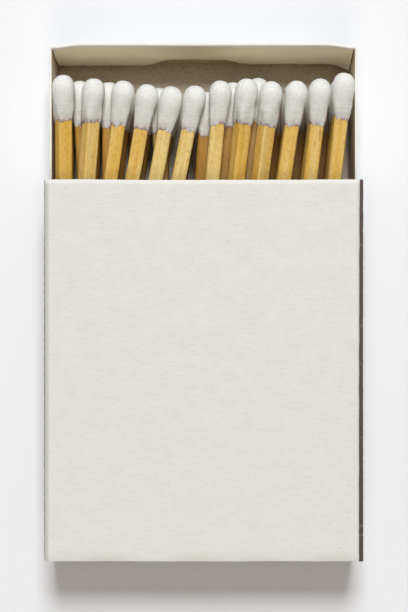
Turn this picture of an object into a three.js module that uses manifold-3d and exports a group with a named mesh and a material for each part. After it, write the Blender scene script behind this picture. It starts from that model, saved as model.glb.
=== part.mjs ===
// A folded card matchbox, its tray drawn part way out, filled with four rows of wooden matches.
// Millimetres. X runs across the box, Y along the slide towards the open end, and Z up.
// The origin is the middle of the sleeve's underside.
// The box is worked out from what it holds: matches give the tray, and the tray gives the sleeve.

import * as THREE from 'three';
import { mergeVertices } from 'three/addons/utils/BufferGeometryUtils.js';
import Module from 'manifold-3d';

const wasm = await Module();
wasm.setup();

// Match sizes
const MATCH_LENGTH = 42;
const SPLINT_WIDTH = 2;
const HEAD_DIAMETER = 3.3;
const HEAD_LENGTH = 6.4;
const HEAD_CAP = 0.9; // composition beyond the end of the splint
const HEAD_SKIRT = 0.15; // composition over each splint face at the head's lower edge
const HEAD_WIDEST = 2.3; // from the tip to the fullest part of the head
const BOND_GAP = 0.05; // between a splint and the socket in its head

// How the matches lie
const ROW_COUNT = 4;
const HEAD_CLEARANCE = 0.05;
const SPLINT_CLEARANCE = 0.15;
const TIP_ROOM = 2.2; // from the foremost tip to the tray's front end
const TAIL_ROOM = 6.3; // from the foremost match's tail to the tray's rear end
const HEAD_ROOM = 0.35; // from the top row of heads to the sleeve's roof

// Card and folds
const SLEEVE_CARD = 0.4;
const TRAY_CARD = 0.32;
const SLEEVE_FOLD_RADIUS = 0.9;
const TRAY_FOLD_RADIUS = 0.6;
const LAP_WIDTH = 9; // glued lap inside the sleeve's bottom panel
const SLIDE_CLEARANCE = 0.08; // between tray and sleeve on each side
const FOOT_CLEARANCE = 0.12; // between the tray's underside and the lap
const RIM_DROP = 2.4; // from the sleeve's roof down to the tray's rim
const SLEEVE_OVERHANG = 0.3; // sleeve beyond the closed tray's base at each end
const OPENED_BY = 18.7; // how far the tray stands out of the sleeve

// Tray ends: an outer wall folded over the top into an inner flap, with a side tab between the two
const TAB_CLEARANCE = 0.04;
const TAB_LENGTH = 8;
const TAB_FOOT = 0.4; // from the tray's floor up to a tab's lower edge
const FLAP_FOOT = 2; // from the tray's floor up to a flap's lower edge
const FLAP_SIDE_GAP = 0.15;
const NOTCH_WIDTH = 15.8; // the dip in the middle of a flap's lower edge
const NOTCH_DEPTH = 3;
const NOTCH_FLAT = 7.4;
const NOTCH_OFFSET = -0.9;
const FRONT_SPLAY = 1.2; // outward lean of the front end at its rim

// Striking strips
const STRIP_THICKNESS = 0.15;
const STRIP_GAP = 0.03; // glue line between a strip and the sleeve
const STRIP_FOOT = 1.6; // from the sleeve's underside up to the right strip
const STRIP_WRAP_DEGREES = 66; // how far the right strip turns over the upper fold
const LEFT_STRIP_FOOT = 1; // the left strip sits lower and stays on the side
const LEFT_STRIP_HEIGHT = 11;

// Fineness of the faceted shapes
const FOLD_STEPS = 6;
const DOME_STEPS = 4; // rings from the fullest part of a head to its tip
const FINE_HEAD_SIDES = 16;
const PLAIN_HEAD_SIDES = 8;
const WELD_DISTANCE = 1e-5;

// Matches standing in line with the columns, left to right. The gap is the free room between a head and
// the one before it, lean is to the left going back, roll turns the splint about its length, and setback
// is how far the tip stays behind the foremost one. A match marked over has its tail on its neighbours.
const COLUMNS = [
  { gap: 0, lean: 0, roll: 27, setback: 0.3 },
  { gap: 0.9, lean: 4.3, roll: 35, setback: 0.8, over: true },
  { gap: 0.8, lean: 8.3, roll: 0, setback: 1.1 },
  { gap: 0.05, lean: 10.2, roll: 1, setback: 1.6 },
  { gap: 0.05, lean: 10.9, roll: 3, setback: 1.9 },
  { gap: 0.05, lean: 11.4, roll: 3, setback: 1.8 },
  { gap: 0.35, lean: 5.2, roll: 0, setback: 1.1 },
  { gap: 0.4, lean: 7, roll: 33, setback: 0.8 },
  { gap: 0.15, lean: 8.6, roll: 36, setback: 1.2 },
  { gap: 0.2, lean: 8.4, roll: 8, setback: 1.1 },
  { gap: 0.05, lean: 6.9, roll: 14, setback: 0.8 },
  { gap: 0.05, lean: 5.9, roll: 10, setback: 0 },
];

// Matches lying in the hollows between the columns, left to right, with one place left empty. A match
// marked low lies in the bottom row alone.
const HOLLOWS = [
  { lean: -3, setback: 0.7 },
  { lean: 2.7, setback: 0.9 },
  { lean: 6, setback: 1.3, low: true },
  { lean: -2, setback: 1.7 },
  null,
  { lean: 4, setback: 2.3 },
  { lean: 6, setback: 0.9 },
  { lean: 7, setback: 0.3 },
  { lean: 8, setback: 1.2, low: true },
  { lean: 7, setback: 1, low: true },
  { lean: 6, setback: 1, low: true },
];

// Sizes worked out from the ones above

const radians = THREE.MathUtils.degToRad;
const headRadius = HEAD_DIAMETER / 2;
const headPitch = HEAD_DIAMETER + HEAD_CLEARANCE;
const rowRise = headPitch * Math.sin(Math.PI / 3);

const filledWidth = COLUMNS.reduce((width, column) => width + column.gap + HEAD_DIAMETER, 0);
const trayInnerHalf = filledWidth / 2 + HEAD_CLEARANCE;
const trayHalf = trayInnerHalf + TRAY_CARD;
const sleeveInnerHalf = trayHalf + SLIDE_CLEARANCE;
const sleeveHalf = sleeveInnerHalf + SLEEVE_CARD;

const trayFoot = 2 * SLEEVE_CARD + FOOT_CLEARANCE;
const stackHeight = HEAD_DIAMETER + (ROW_COUNT - 1) * rowRise;
const roof = trayFoot + TRAY_CARD + HEAD_CLEARANCE + stackHeight + HEAD_ROOM;
const sleeveHeight = roof + SLEEVE_CARD;
const trayHeight = roof - RIM_DROP - trayFoot;

const foldGap = TRAY_CARD + 2 * TAB_CLEARANCE;
const endThickness = 2 * TRAY_CARD + foldGap;
const endRadius = endThickness / 2;
const trayLength = MATCH_LENGTH + TIP_ROOM + TAIL_ROOM + 2 * endThickness;
const trayEnd = trayLength / 2;
const frontFace = trayEnd - endThickness;
const sleeveLength = trayLength + 2 * SLEEVE_OVERHANG;

// Materials

const finish = (color, roughness) => new THREE.MeshStandardMaterial({ color, roughness, metalness: 0 });
const SLEEVE_BOARD = finish(0xdedfda, 0.9);
const TRAY_BOARD = finish(0xcdc8b8, 0.92);
const STRIKING_COAT = finish(0x5b504e, 0.95);
const WOOD = finish(0xd7af5a, 0.7);
const COMPOSITION = finish(0xe6e6e0, 0.85);

// Solids

/** Positions only, with shared corners merged and collapsed triangles dropped. */
function welded(geometry) {
  geometry.deleteAttribute('normal');
  geometry.deleteAttribute('uv');
  const merged = mergeVertices(geometry, WELD_DISTANCE);
  const index = merged.getIndex().array;
  const kept = [];
  for (let i = 0; i < index.length; i += 3) {
    const [a, b, c] = index.slice(i, i + 3);
    if (a !== b && b !== c && c !== a) kept.push(a, b, c);
  }
  merged.setIndex(kept);
  return merged;
}

function toManifold(geometry) {
  const solid = welded(geometry);
  return new wasm.Manifold(
    new wasm.Mesh({
      numProp: 3,
      vertProperties: solid.getAttribute('position').array,
      triVerts: Uint32Array.from(solid.getIndex().array),
    })
  );
}

function fromManifold(solid) {
  const mesh = solid.getMesh();
  const geometry = new THREE.BufferGeometry();
  geometry.setAttribute('position', new THREE.BufferAttribute(mesh.vertProperties, 3));
  geometry.setIndex(new THREE.BufferAttribute(mesh.triVerts, 1));
  return geometry;
}

function piece(name, geometry, material) {
  geometry.computeVertexNormals();
  const mesh = new THREE.Mesh(geometry, material.clone());
  mesh.name = name;
  return mesh;
}

function extruded(outline, depth) {
  return new THREE.ExtrudeGeometry(outline, { depth, bevelEnabled: false, curveSegments: FOLD_STEPS });
}

/** An outline in X and Z, drawn out along Y from one place to another. */
function alongY(outline, from, to) {
  return extruded(outline, to - from)
    .rotateX(Math.PI / 2)
    .translate(0, to, 0);
}

/** An outline in Y and Z, drawn out along X from one place to another. */
function alongX(outline, from, to) {
  const turn = new THREE.Matrix4().makeBasis(
    new THREE.Vector3(0, 1, 0),
    new THREE.Vector3(0, 0, 1),
    new THREE.Vector3(1, 0, 0)
  );
  return extruded(outline, to - from)
    .applyMatrix4(turn)
    .translate(from, 0, 0);
}

function box(x, y, z) {
  const size = [x, y, z].map(([from, to]) => to - from);
  const middle = [x, y, z].map(([from, to]) => (from + to) / 2);
  return new THREE.BoxGeometry(...size).translate(...middle);
}

// Sleeve

/** The wall section: a box with rounded folds, and a step inside where the glued lap lies. */
function sleeveSection() {
  const r = SLEEVE_FOLD_RADIUS;
  const quarter = Math.PI / 2;
  const outside = new THREE.Shape();
  outside.absarc(sleeveHalf - r, sleeveHeight - r, r, 0, quarter);
  outside.absarc(-sleeveHalf + r, sleeveHeight - r, r, quarter, 2 * quarter);
  outside.absarc(-sleeveHalf + r, r, r, 2 * quarter, 3 * quarter);
  outside.absarc(sleeveHalf - r, r, r, 3 * quarter, 4 * quarter);

  const inner = r - SLEEVE_CARD;
  const lapTop = 2 * SLEEVE_CARD;
  const lapEdge = -sleeveInnerHalf + LAP_WIDTH;
  const inside = new THREE.Path();
  inside.absarc(sleeveInnerHalf - inner, roof - inner, inner, 0, quarter);
  inside.absarc(-sleeveInnerHalf + inner, roof - inner, inner, quarter, 2 * quarter);
  inside.absarc(-sleeveInnerHalf + inner, lapTop + inner, inner, 2 * quarter, 3 * quarter);
  inside.lineTo(lapEdge, lapTop);
  inside.lineTo(lapEdge, SLEEVE_CARD);
  inside.absarc(sleeveInnerHalf - inner, SLEEVE_CARD + inner, inner, 3 * quarter, 4 * quarter);
  outside.holes.push(inside);
  return outside;
}

function makeSleeve() {
  const shell = alongY(sleeveSection(), -sleeveLength / 2, sleeveLength / 2);
  return piece('sleeve', welded(shell), SLEEVE_BOARD);
}

/** The right strip's section: up the side and over the upper fold. */
function rightStripSection() {
  const foldX = sleeveHalf - SLEEVE_FOLD_RADIUS;
  const foldZ = sleeveHeight - SLEEVE_FOLD_RADIUS;
  const near = SLEEVE_FOLD_RADIUS + STRIP_GAP;
  const far = near + STRIP_THICKNESS;
  const wrap = radians(STRIP_WRAP_DEGREES);
  const section = new THREE.Shape();
  section.moveTo(foldX + near, STRIP_FOOT);
  section.lineTo(foldX + far, STRIP_FOOT);
  section.absarc(foldX, foldZ, far, 0, wrap);
  section.absarc(foldX, foldZ, near, wrap, 0, true);
  return section;
}

function makeStrips() {
  const end = sleeveLength / 2;
  const right = alongY(rightStripSection(), -end, end);
  const face = -sleeveHalf - STRIP_GAP;
  const left = box(
    [face - STRIP_THICKNESS, face],
    [-end, end],
    [LEFT_STRIP_FOOT, LEFT_STRIP_FOOT + LEFT_STRIP_HEIGHT]
  );
  return [
    piece('striker_right', welded(right), STRIKING_COAT),
    piece('striker_left', welded(left), STRIKING_COAT),
  ];
}

// Tray, drawn about its own middle with its underside at zero

/** The tray's outside across the box, up to a given height, with its lower folds rounded. */
function trayOutline(height) {
  const r = TRAY_FOLD_RADIUS;
  const outline = new THREE.Shape();
  outline.moveTo(-trayHalf, height);
  outline.absarc(-trayHalf + r, r, r, Math.PI, 1.5 * Math.PI);
  outline.absarc(trayHalf - r, r, r, 1.5 * Math.PI, 2 * Math.PI);
  outline.lineTo(trayHalf, height);
  return outline;
}

/** The floor and the two sides. */
function channelSection() {
  const r = TRAY_FOLD_RADIUS - TRAY_CARD;
  const section = trayOutline(trayHeight);
  section.lineTo(trayInnerHalf, trayHeight);
  section.absarc(trayInnerHalf - r, TRAY_CARD + r, r, 2 * Math.PI, 1.5 * Math.PI, true);
  section.absarc(-trayInnerHalf + r, TRAY_CARD + r, r, 1.5 * Math.PI, Math.PI, true);
  section.lineTo(-trayInnerHalf, trayHeight);
  return section;
}

/** The front end's section: outer wall, fold over the top, and inner flap. */
function endSection() {
  const middle = trayEnd - endRadius;
  const foldZ = trayHeight - endRadius;
  const flapFoot = TRAY_CARD + FLAP_FOOT;
  const section = new THREE.Shape();
  section.moveTo(trayEnd, 0);
  section.absarc(middle, foldZ, endRadius, 0, Math.PI);
  section.lineTo(middle - endRadius, flapFoot);
  section.lineTo(middle - foldGap / 2, flapFoot);
  section.absarc(middle, foldZ, foldGap / 2, Math.PI, 0, true);
  section.lineTo(middle + foldGap / 2, 0);
  section.closePath();
  return section;
}

/** The dip in a flap's lower edge, with an S curve on each side. */
function notchOutline() {
  const foot = TRAY_CARD + FLAP_FOOT;
  const top = foot + NOTCH_DEPTH;
  const reach = NOTCH_WIDTH / 2;
  const flat = NOTCH_FLAT / 2;
  const ease = (reach + flat) / 2;
  const below = foot - TRAY_CARD;
  const outline = new THREE.Shape();
  outline.moveTo(-reach, below);
  outline.lineTo(reach, below);
  outline.lineTo(reach, foot);
  outline.bezierCurveTo(ease, foot, ease, top, flat, top);
  outline.lineTo(-flat, top);
  outline.bezierCurveTo(-ease, top, -ease, foot, -reach, foot);
  outline.closePath();
  return outline;
}

/** One end of the tray, at +Y. */
function trayEndSolid() {
  const foldZ = trayHeight - endRadius;
  const flapHalf = trayInnerHalf - FLAP_SIDE_GAP;
  const fold = toManifold(alongX(endSection(), -flapHalf, flapHalf));
  const wall = toManifold(alongY(trayOutline(foldZ), trayEnd - TRAY_CARD, trayEnd));
  const tabFace = frontFace + TRAY_CARD + TAB_CLEARANCE;
  const notch = alongY(notchOutline(), frontFace - TAB_CLEARANCE, tabFace).translate(NOTCH_OFFSET, 0, 0);
  const tabReach = trayInnerHalf - TAB_LENGTH;
  const tab = (side) =>
    toManifold(
      box(
        side > 0 ? [tabReach, trayHalf - TRAY_CARD / 2] : [-trayHalf + TRAY_CARD / 2, -tabReach],
        [tabFace, tabFace + TRAY_CARD],
        [TRAY_CARD + TAB_FOOT, foldZ]
      )
    );
  return fold.add(wall).subtract(toManifold(notch)).add(tab(1)).add(tab(-1));
}

/** Leans the front half of the tray outward, from nothing at the floor to the full splay at the rim. */
function splayFront(geometry) {
  const at = geometry.getAttribute('position');
  for (let i = 0; i < at.count; i += 1) {
    if (at.getY(i) > 0) at.setY(i, at.getY(i) + (FRONT_SPLAY * at.getZ(i)) / trayHeight);
  }
  return geometry;
}

function makeTray() {
  const reach = trayEnd - TRAY_CARD / 2;
  const channel = toManifold(alongY(channelSection(), -reach, reach));
  const front = trayEndSolid();
  const rear = toManifold(fromManifold(front).rotateZ(Math.PI));
  const body = channel.add(front).add(rear);
  return piece('tray', splayFront(fromManifold(body)), TRAY_BOARD);
}

// Matches, drawn along Y with the tip towards +Y and the origin at the fullest part of the head

const tipReach = HEAD_WIDEST;
const tailReach = MATCH_LENGTH - HEAD_WIDEST;
const headFoot = HEAD_WIDEST - HEAD_LENGTH;
const splintHalf = SPLINT_WIDTH / 2;
const splintTop = tipReach - HEAD_CAP;

/** The outside of a head, from its lower edge to the tip: radius, place along Y, and squareness. */
function headProfile() {
  const skirt = splintHalf + HEAD_SKIRT;
  const rings = [
    [skirt, headFoot, 1],
    [(skirt + headRadius) / 2, headFoot / 2, 1 / 2],
  ];
  for (let step = 0; step < DOME_STEPS; step += 1) {
    const angle = (step / DOME_STEPS) * (Math.PI / 2);
    rings.push([headRadius * Math.cos(angle), tipReach * Math.sin(angle), 0]);
  }
  rings.push([0, tipReach, 0]);
  return rings;
}

/** Turns a profile about Y, drawing each ring out towards a square as far as its squareness says. */
function turned(profile, sides) {
  const points = profile.map(([radius, y]) => new THREE.Vector2(radius, y));
  const geometry = new THREE.LatheGeometry(points, sides);
  const at = geometry.getAttribute('position');
  for (let i = 0; i < at.count; i += 1) {
    const squareness = profile[i % profile.length][2];
    const radius = Math.hypot(at.getX(i), at.getZ(i));
    const widest = Math.max(Math.abs(at.getX(i)), Math.abs(at.getZ(i)));
    const stretch = radius > 0 ? 1 + squareness * (radius / widest - 1) : 1;
    at.setXYZ(i, at.getX(i) * stretch, at.getY(i), at.getZ(i) * stretch);
  }
  return welded(geometry);
}

/** A head, with a socket that the splint's end goes into. */
function headGeometry() {
  const half = splintHalf + BOND_GAP;
  const socket = box([-half, half], [headFoot - BOND_GAP, splintTop + BOND_GAP], [-half, half]);
  const outside = turned([[0, headFoot, 0], ...headProfile()], FINE_HEAD_SIDES);
  return fromManifold(toManifold(outside).subtract(toManifold(socket)));
}

function wholeMatchGeometry() {
  const stick = [
    [0, -tailReach, 0],
    [splintHalf, -tailReach, 1],
    [splintHalf, headFoot, 1],
  ];
  return turned([...stick, ...headProfile()], PLAIN_HEAD_SIDES);
}

function splintGeometry() {
  return welded(box([-splintHalf, splintHalf], [-tailReach, splintTop], [-splintHalf, splintHalf]));
}

/** Half the height or width of a splint's section when it is rolled. */
function halfSpan(roll) {
  return splintHalf * (Math.abs(Math.cos(radians(roll))) + Math.abs(Math.sin(radians(roll))));
}

// Rows, counted from the floor up. Rows of matches in line with the columns take turns with rows in the
// hollows between them, and the top row is in line with the columns.

const columnPlaces = COLUMNS.map((column, i) => {
  const before = COLUMNS.slice(0, i + 1).reduce((sum, each) => sum + each.gap, 0);
  return { ...column, x: -filledWidth / 2 + headRadius + before + i * HEAD_DIAMETER };
});
const flatColumnPlaces = columnPlaces.map((place) => ({ ...place, roll: 0, over: false }));
const hollowPlaces = HOLLOWS.map((hollow, i) => {
  const x = (columnPlaces[i].x + columnPlaces[i + 1].x) / 2;
  return hollow && { ...hollow, roll: 0, x };
}).filter(Boolean);
const topRoll = Math.max(...COLUMNS.map((column) => halfSpan(column.roll)));

const headHeight = (row) => TRAY_CARD + HEAD_CLEARANCE + headRadius + row * rowRise;
const plainTailHeight = (row) =>
  TRAY_CARD + SPLINT_CLEARANCE + splintHalf + row * (SPLINT_WIDTH + SPLINT_CLEARANCE);

/** Sets where each tail of a row lies: it leans as asked until it meets the splint to its left. */
function settled(places, tailHeight) {
  let left = -trayInnerHalf;
  return places.map((place) => {
    const span = halfSpan(place.roll);
    const wanted = place.x - tailReach * Math.sin(radians(place.lean));
    const least = left + span + SPLINT_CLEARANCE;
    const lift = place.over ? 2 * topRoll + SPLINT_CLEARANCE : 0;
    const tailX = place.over ? wanted : Math.max(wanted, least);
    if (!place.over) left = tailX + span;
    return { ...place, tailX, tailZ: tailHeight + lift };
  });
}

/** Places a group so that its Y axis runs from a match's tail to its head. */
function lay(group, place, row) {
  const headY = frontFace - TIP_ROOM - place.setback - tipReach;
  const dx = place.x - place.tailX;
  const dz = headHeight(row) - place.tailZ;
  const dy = Math.sqrt(tailReach ** 2 - dx ** 2 - dz ** 2);
  const along = new THREE.Vector3(dx, dy, dz).normalize();
  group.position.set(place.x, headY, headHeight(row));
  group.quaternion.setFromUnitVectors(new THREE.Vector3(0, 1, 0), along);
  group.rotateY(radians(place.roll));
}

const label = (number) => `match_${String(number).padStart(2, '0')}`;

/** The top row, each match a splint and a head. */
function makeTopRow(group) {
  const row = ROW_COUNT - 1;
  const tailHeight = plainTailHeight(row - 1) + splintHalf + topRoll + SPLINT_CLEARANCE;
  settled(columnPlaces, tailHeight).forEach((place, i) => {
    const match = new THREE.Group();
    match.add(piece(`${label(i + 1)}_splint`, splintGeometry(), WOOD));
    match.add(piece(`${label(i + 1)}_head`, headGeometry(), COMPOSITION));
    lay(match, place, row);
    group.add(match);
  });
}

/** The rows below it, each match one solid. */
function makeLowerRows(group) {
  let number = COLUMNS.length;
  for (let row = ROW_COUNT - 2; row >= 0; row -= 1) {
    const inColumns = (ROW_COUNT - 1 - row) % 2 === 0;
    const hollows = hollowPlaces.filter((place) => row === 0 || !place.low);
    const places = inColumns ? flatColumnPlaces : hollows;
    for (const place of settled(places, plainTailHeight(row))) {
      number += 1;
      const match = piece(label(number), wholeMatchGeometry(), WOOD);
      lay(match, place, row);
      group.add(match);
    }
  }
}

// Assembly

const matchbox = new THREE.Group();
matchbox.add(makeSleeve(), ...makeStrips());

const drawer = new THREE.Group();
drawer.position.set(0, OPENED_BY, trayFoot);
drawer.add(makeTray());
makeTopRow(drawer);
makeLowerRows(drawer);
matchbox.add(drawer);

export default matchbox;
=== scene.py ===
"""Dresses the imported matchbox: a board sleeve with striking strips, a folded tray, and loose matches.

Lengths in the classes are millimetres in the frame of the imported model, and meshes go out in metres.
X runs across the box, Y along the slide towards the open end, and Z up.
"""

import logging
import math
from dataclasses import dataclass, field
from enum import Enum, IntEnum
from typing import Any, ClassVar, Optional, Union

import bpy
import numpy as np
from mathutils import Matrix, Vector


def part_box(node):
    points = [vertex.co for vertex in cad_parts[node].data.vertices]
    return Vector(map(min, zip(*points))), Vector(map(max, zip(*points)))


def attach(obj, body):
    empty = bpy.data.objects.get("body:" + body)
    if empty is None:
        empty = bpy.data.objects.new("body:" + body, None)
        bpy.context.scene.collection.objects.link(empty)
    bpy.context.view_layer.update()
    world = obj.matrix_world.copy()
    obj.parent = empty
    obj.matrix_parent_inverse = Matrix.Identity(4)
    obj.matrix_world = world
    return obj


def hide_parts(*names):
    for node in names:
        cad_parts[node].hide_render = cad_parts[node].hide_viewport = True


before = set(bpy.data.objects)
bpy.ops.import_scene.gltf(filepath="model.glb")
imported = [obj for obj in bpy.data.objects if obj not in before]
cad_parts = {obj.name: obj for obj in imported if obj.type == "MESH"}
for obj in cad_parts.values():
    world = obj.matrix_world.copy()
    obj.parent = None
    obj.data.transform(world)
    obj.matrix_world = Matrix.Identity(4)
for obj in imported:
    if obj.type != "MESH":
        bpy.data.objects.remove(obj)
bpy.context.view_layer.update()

LOG = logging.getLogger("matchbox")
METRE = 0.001

# A cut edge is rounded: shares of the thickness, and how far along the rounding each is reached.
CUT_FACTORS = (0.55, 0.85)
CUT_PLACES = (0.0, 0.3)
# Shares of the thickness lost at which a sheet starts to look cut, and at which it looks wholly cut.
CUT_SEEN = (0.02, 0.4)

Colour = tuple[float, float, float, float]
Pair = tuple[float, float]
Triple = tuple[float, float, float]
Numbers = Union[np.ndarray, float]
Amount = Union["Sock", float]


class Seed(IntEnum):
    """Starts of the random draws, to which a piece may add FINE or a number of its own."""

    SLEEVE_CUT = 3
    SLEEVE_GRIME = 7
    FINE = 10
    SLEEVE_FINE_CUT = 23
    RIGHT_FOOT = 31
    RIGHT_TURN = 32
    LEFT_FOOT = 33
    LEFT_TOP = 34
    GRIT = 35
    RIM = 41
    FLAP = 51
    SPLINT = 200
    HEAD = 400
    HEAD_RAG = 500
    HEAD_FINE_RAG = 600
    HEAD_LUMP = 700
    HEAD_FINE_LUMP = 800
    LOWER_ROW = 900


def ink(red: float, green: float, blue: float) -> Colour:
    """A colour as it is seen, from 0 to 255 a channel, as the linear light that nodes take.

    Args:
        red: Red from 0 to 255.
        green: Green from 0 to 255.
        blue: Blue from 0 to 255.

    Returns:
        Linear red, green and blue, and an alpha of one.
    """
    linear = []
    for channel in (red, green, blue):
        share = channel / 255
        linear.append(share / 12.92 if share <= 0.04045 else ((share + 0.055) / 1.055) ** 2.4)
    return (linear[0], linear[1], linear[2], 1.0)


def eased(values: np.ndarray, low: float, high: float) -> np.ndarray:
    """A smooth step from 0 below low to 1 above high.

    Args:
        values: Numbers to place on the step.
        low: Where the step leaves 0.
        high: Where the step reaches 1.

    Returns:
        Numbers from 0 to 1, in the shape of values.
    """
    share = np.clip((values - low) / (high - low), 0, 1)
    return share * share * (3 - 2 * share)


def bump_at(values: np.ndarray, centre: float, width: float) -> np.ndarray:
    """A rounded bump of height 1 at centre, about twice width across."""
    return np.exp(-(((values - centre) / width) ** 2))


def gathered(x: Numbers, y: Numbers, z: Numbers) -> np.ndarray:
    """Coordinates that fit one grid, with X, Y and Z on the last axis."""
    return np.stack(np.broadcast_arrays(x, y, z), axis=-1).astype(float)


class Ripple:
    """Smooth seeded unevenness, made of waves that run in many directions."""

    STRETCH = (0.6, 1.7)
    CREST = 1.4

    def __init__(self, seed: int, wavelength: float, waves: int = 14) -> None:
        """Draws the waves.

        Args:
            seed: Start of the random draw.
            wavelength: Usual distance from crest to crest.
            waves: How many waves are added.
        """
        rng = np.random.default_rng(seed)
        ways = rng.normal(size=(waves, 3))
        ways /= np.linalg.norm(ways, axis=1, keepdims=True)
        stretch = rng.uniform(*self.STRETCH, size=(waves, 1))
        self.ways = ways * stretch * 2 * math.pi / wavelength
        self.starts = rng.uniform(0, 2 * math.pi, size=waves)
        self.level = math.sqrt(2 / waves) / self.CREST

    def at(self, points: np.ndarray) -> np.ndarray:
        """The unevenness at points, mostly from -1 to 1.

        Args:
            points: Places, with X, Y and Z on the last axis.

        Returns:
            One number for each place.
        """
        return np.sin(points @ self.ways.T + self.starts).sum(axis=-1) * self.level

    def along(self, places: np.ndarray) -> np.ndarray:
        """The unevenness along one line, at distances from its start."""
        return self.at(gathered(places, 0, 0))


@dataclass
class Skin:
    """A mesh in the making: points, faces, the finish of each face, and marks on each point."""

    points: list[np.ndarray] = field(default_factory=list)
    faces: list[tuple[int, ...]] = field(default_factory=list)
    finishes: list[int] = field(default_factory=list)
    marks: dict[str, list[np.ndarray]] = field(default_factory=dict)
    count: int = 0

    def add_points(self, points: np.ndarray, **marks: np.ndarray) -> np.ndarray:
        """Adds points and what is marked on them.

        Args:
            points: Places, with X, Y and Z on the last axis.
            marks: One number or vector for each place, under a name.

        Returns:
            The points' numbers, in the shape of the places.
        """
        shape = points.shape[:-1]
        flat = points.reshape(-1, 3)
        self.points.append(flat)
        for name, values in marks.items():
            width = np.asarray(values).size // len(flat)
            self.marks.setdefault(name, []).append(np.asarray(values, float).reshape(len(flat), width))
        numbers = np.arange(self.count, self.count + len(flat)).reshape(shape)
        self.count += len(flat)
        return numbers

    def add_grid(self, numbers: np.ndarray, finish: int = 0, wrap: bool = False, flip: bool = False) -> None:
        """Joins the neighbouring points of a grid with four-sided faces.

        Args:
            numbers: The grid of point numbers.
            finish: Which of the piece's finishes the faces take.
            wrap: True if the last column joins the first.
            flip: True to turn the faces over.
        """
        if wrap:
            numbers = np.concatenate([numbers, numbers[:, :1]], axis=1)
        sides = [numbers[:-1, :-1], numbers[1:, :-1], numbers[1:, 1:], numbers[:-1, 1:]]
        quads = np.stack(sides, axis=-1).reshape(-1, 4)
        if flip:
            quads = quads[:, ::-1]
        self.faces.extend(map(tuple, quads.tolist()))
        self.finishes.extend([finish] * len(quads))

    def add_fan(self, ring: np.ndarray, centre: int, finish: int = 0, flip: bool = False) -> None:
        """Closes a ring of points on one centre point.

        Args:
            ring: The ring's point numbers.
            centre: The centre's point number.
            finish: Which of the piece's finishes the faces take.
            flip: True to turn the faces over.
        """
        for first, second in zip(ring.tolist(), np.roll(ring, -1).tolist()):
            self.faces.append((second, first, centre) if flip else (first, second, centre))
            self.finishes.append(finish)

    def add_sheet(
        self, middle: np.ndarray, outward: np.ndarray, thickness: np.ndarray, **marks: np.ndarray
    ) -> None:
        """Adds a sheet of card round a grid of places in the middle of its thickness.

        Args:
            middle: Places, along the sheet and across it.
            outward: The way out of the sheet's face at each place.
            thickness: The sheet's thickness at each place, less at its cut edges.
            marks: What is marked on the sheet's face at each place, under a name.
        """
        half = outward * (thickness[..., None] / 2)
        edge = eased(1 - thickness / thickness.max(), *CUT_SEEN)
        plain = {name: edge * 0 for name in ("side", "lining", "handled", "dust")}
        plain["edge"] = edge
        under = {"side": edge * 0 + 1, "dust": marks.get("dust", edge * 0)}
        face = self.add_points(middle + half, **{**plain, **marks})
        back = self.add_points(middle - half, **{**plain, **under})
        run = middle[1, 0] - middle[0, 0]
        cross = middle[0, 1] - middle[0, 0]
        flip = bool(np.dot(np.cross(run, cross), outward[0, 0]) < 0)
        self.add_grid(face, flip=flip)
        self.add_grid(back, flip=not flip)
        loops = [np.concatenate([g[:-1, 0], g[-1, :-1], g[:0:-1, -1], g[0, :0:-1]]) for g in (face, back)]
        self.add_grid(np.stack(loops), wrap=True, flip=flip)

    def build(self, name: str, materials: list[bpy.types.Material], sharp: float = 40) -> bpy.types.Object:
        """Makes the piece.

        Args:
            name: The piece's name.
            materials: Its finishes, in the order that the faces count them.
            sharp: Edges that turn more than this many degrees stay crisp.

        Returns:
            The new object, in the scene.
        """
        mesh = bpy.data.meshes.new(name)
        mesh.from_pydata((np.concatenate(self.points) * METRE).tolist(), [], self.faces)
        for material in materials:
            mesh.materials.append(material)
        mesh.polygons.foreach_set("material_index", self.finishes)
        for mark, values in self.marks.items():
            data = np.concatenate(values)
            if data.shape[1] == 3:
                mesh.attributes.new(mark, "FLOAT_VECTOR", "POINT").data.foreach_set("vector", data.ravel())
            else:
                mesh.attributes.new(mark, "FLOAT", "POINT").data.foreach_set("value", data.ravel())
        mesh.polygons.foreach_set("use_smooth", [True] * len(mesh.polygons))
        mesh.set_sharp_from_angle(angle=math.radians(sharp))
        mesh.update()
        piece = bpy.data.objects.new(name, mesh)
        bpy.context.scene.collection.objects.link(piece)
        return piece


def spread(low: float, high: float, spacing: float, cut: float = 0.1) -> tuple[np.ndarray, np.ndarray]:
    """Places across a sheet, closer at its two cut edges, which are rounded.

    Args:
        low: The first edge.
        high: The last edge.
        spacing: Usual distance between places.
        cut: How far in from an edge its rounding starts.

    Returns:
        The places, and the share of the sheet's thickness at each.
    """
    count = max(2, math.ceil((high - low - 2 * cut) / spacing) + 1)
    inner = np.linspace(low + cut, high - cut, count)
    lead = np.array([low + share * cut for share in CUT_PLACES])
    tail = np.array([high - share * cut for share in reversed(CUT_PLACES)])
    places = np.concatenate([lead, inner, tail])
    factors = np.concatenate([CUT_FACTORS, np.ones(count), CUT_FACTORS[::-1]])
    return places, factors


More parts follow.
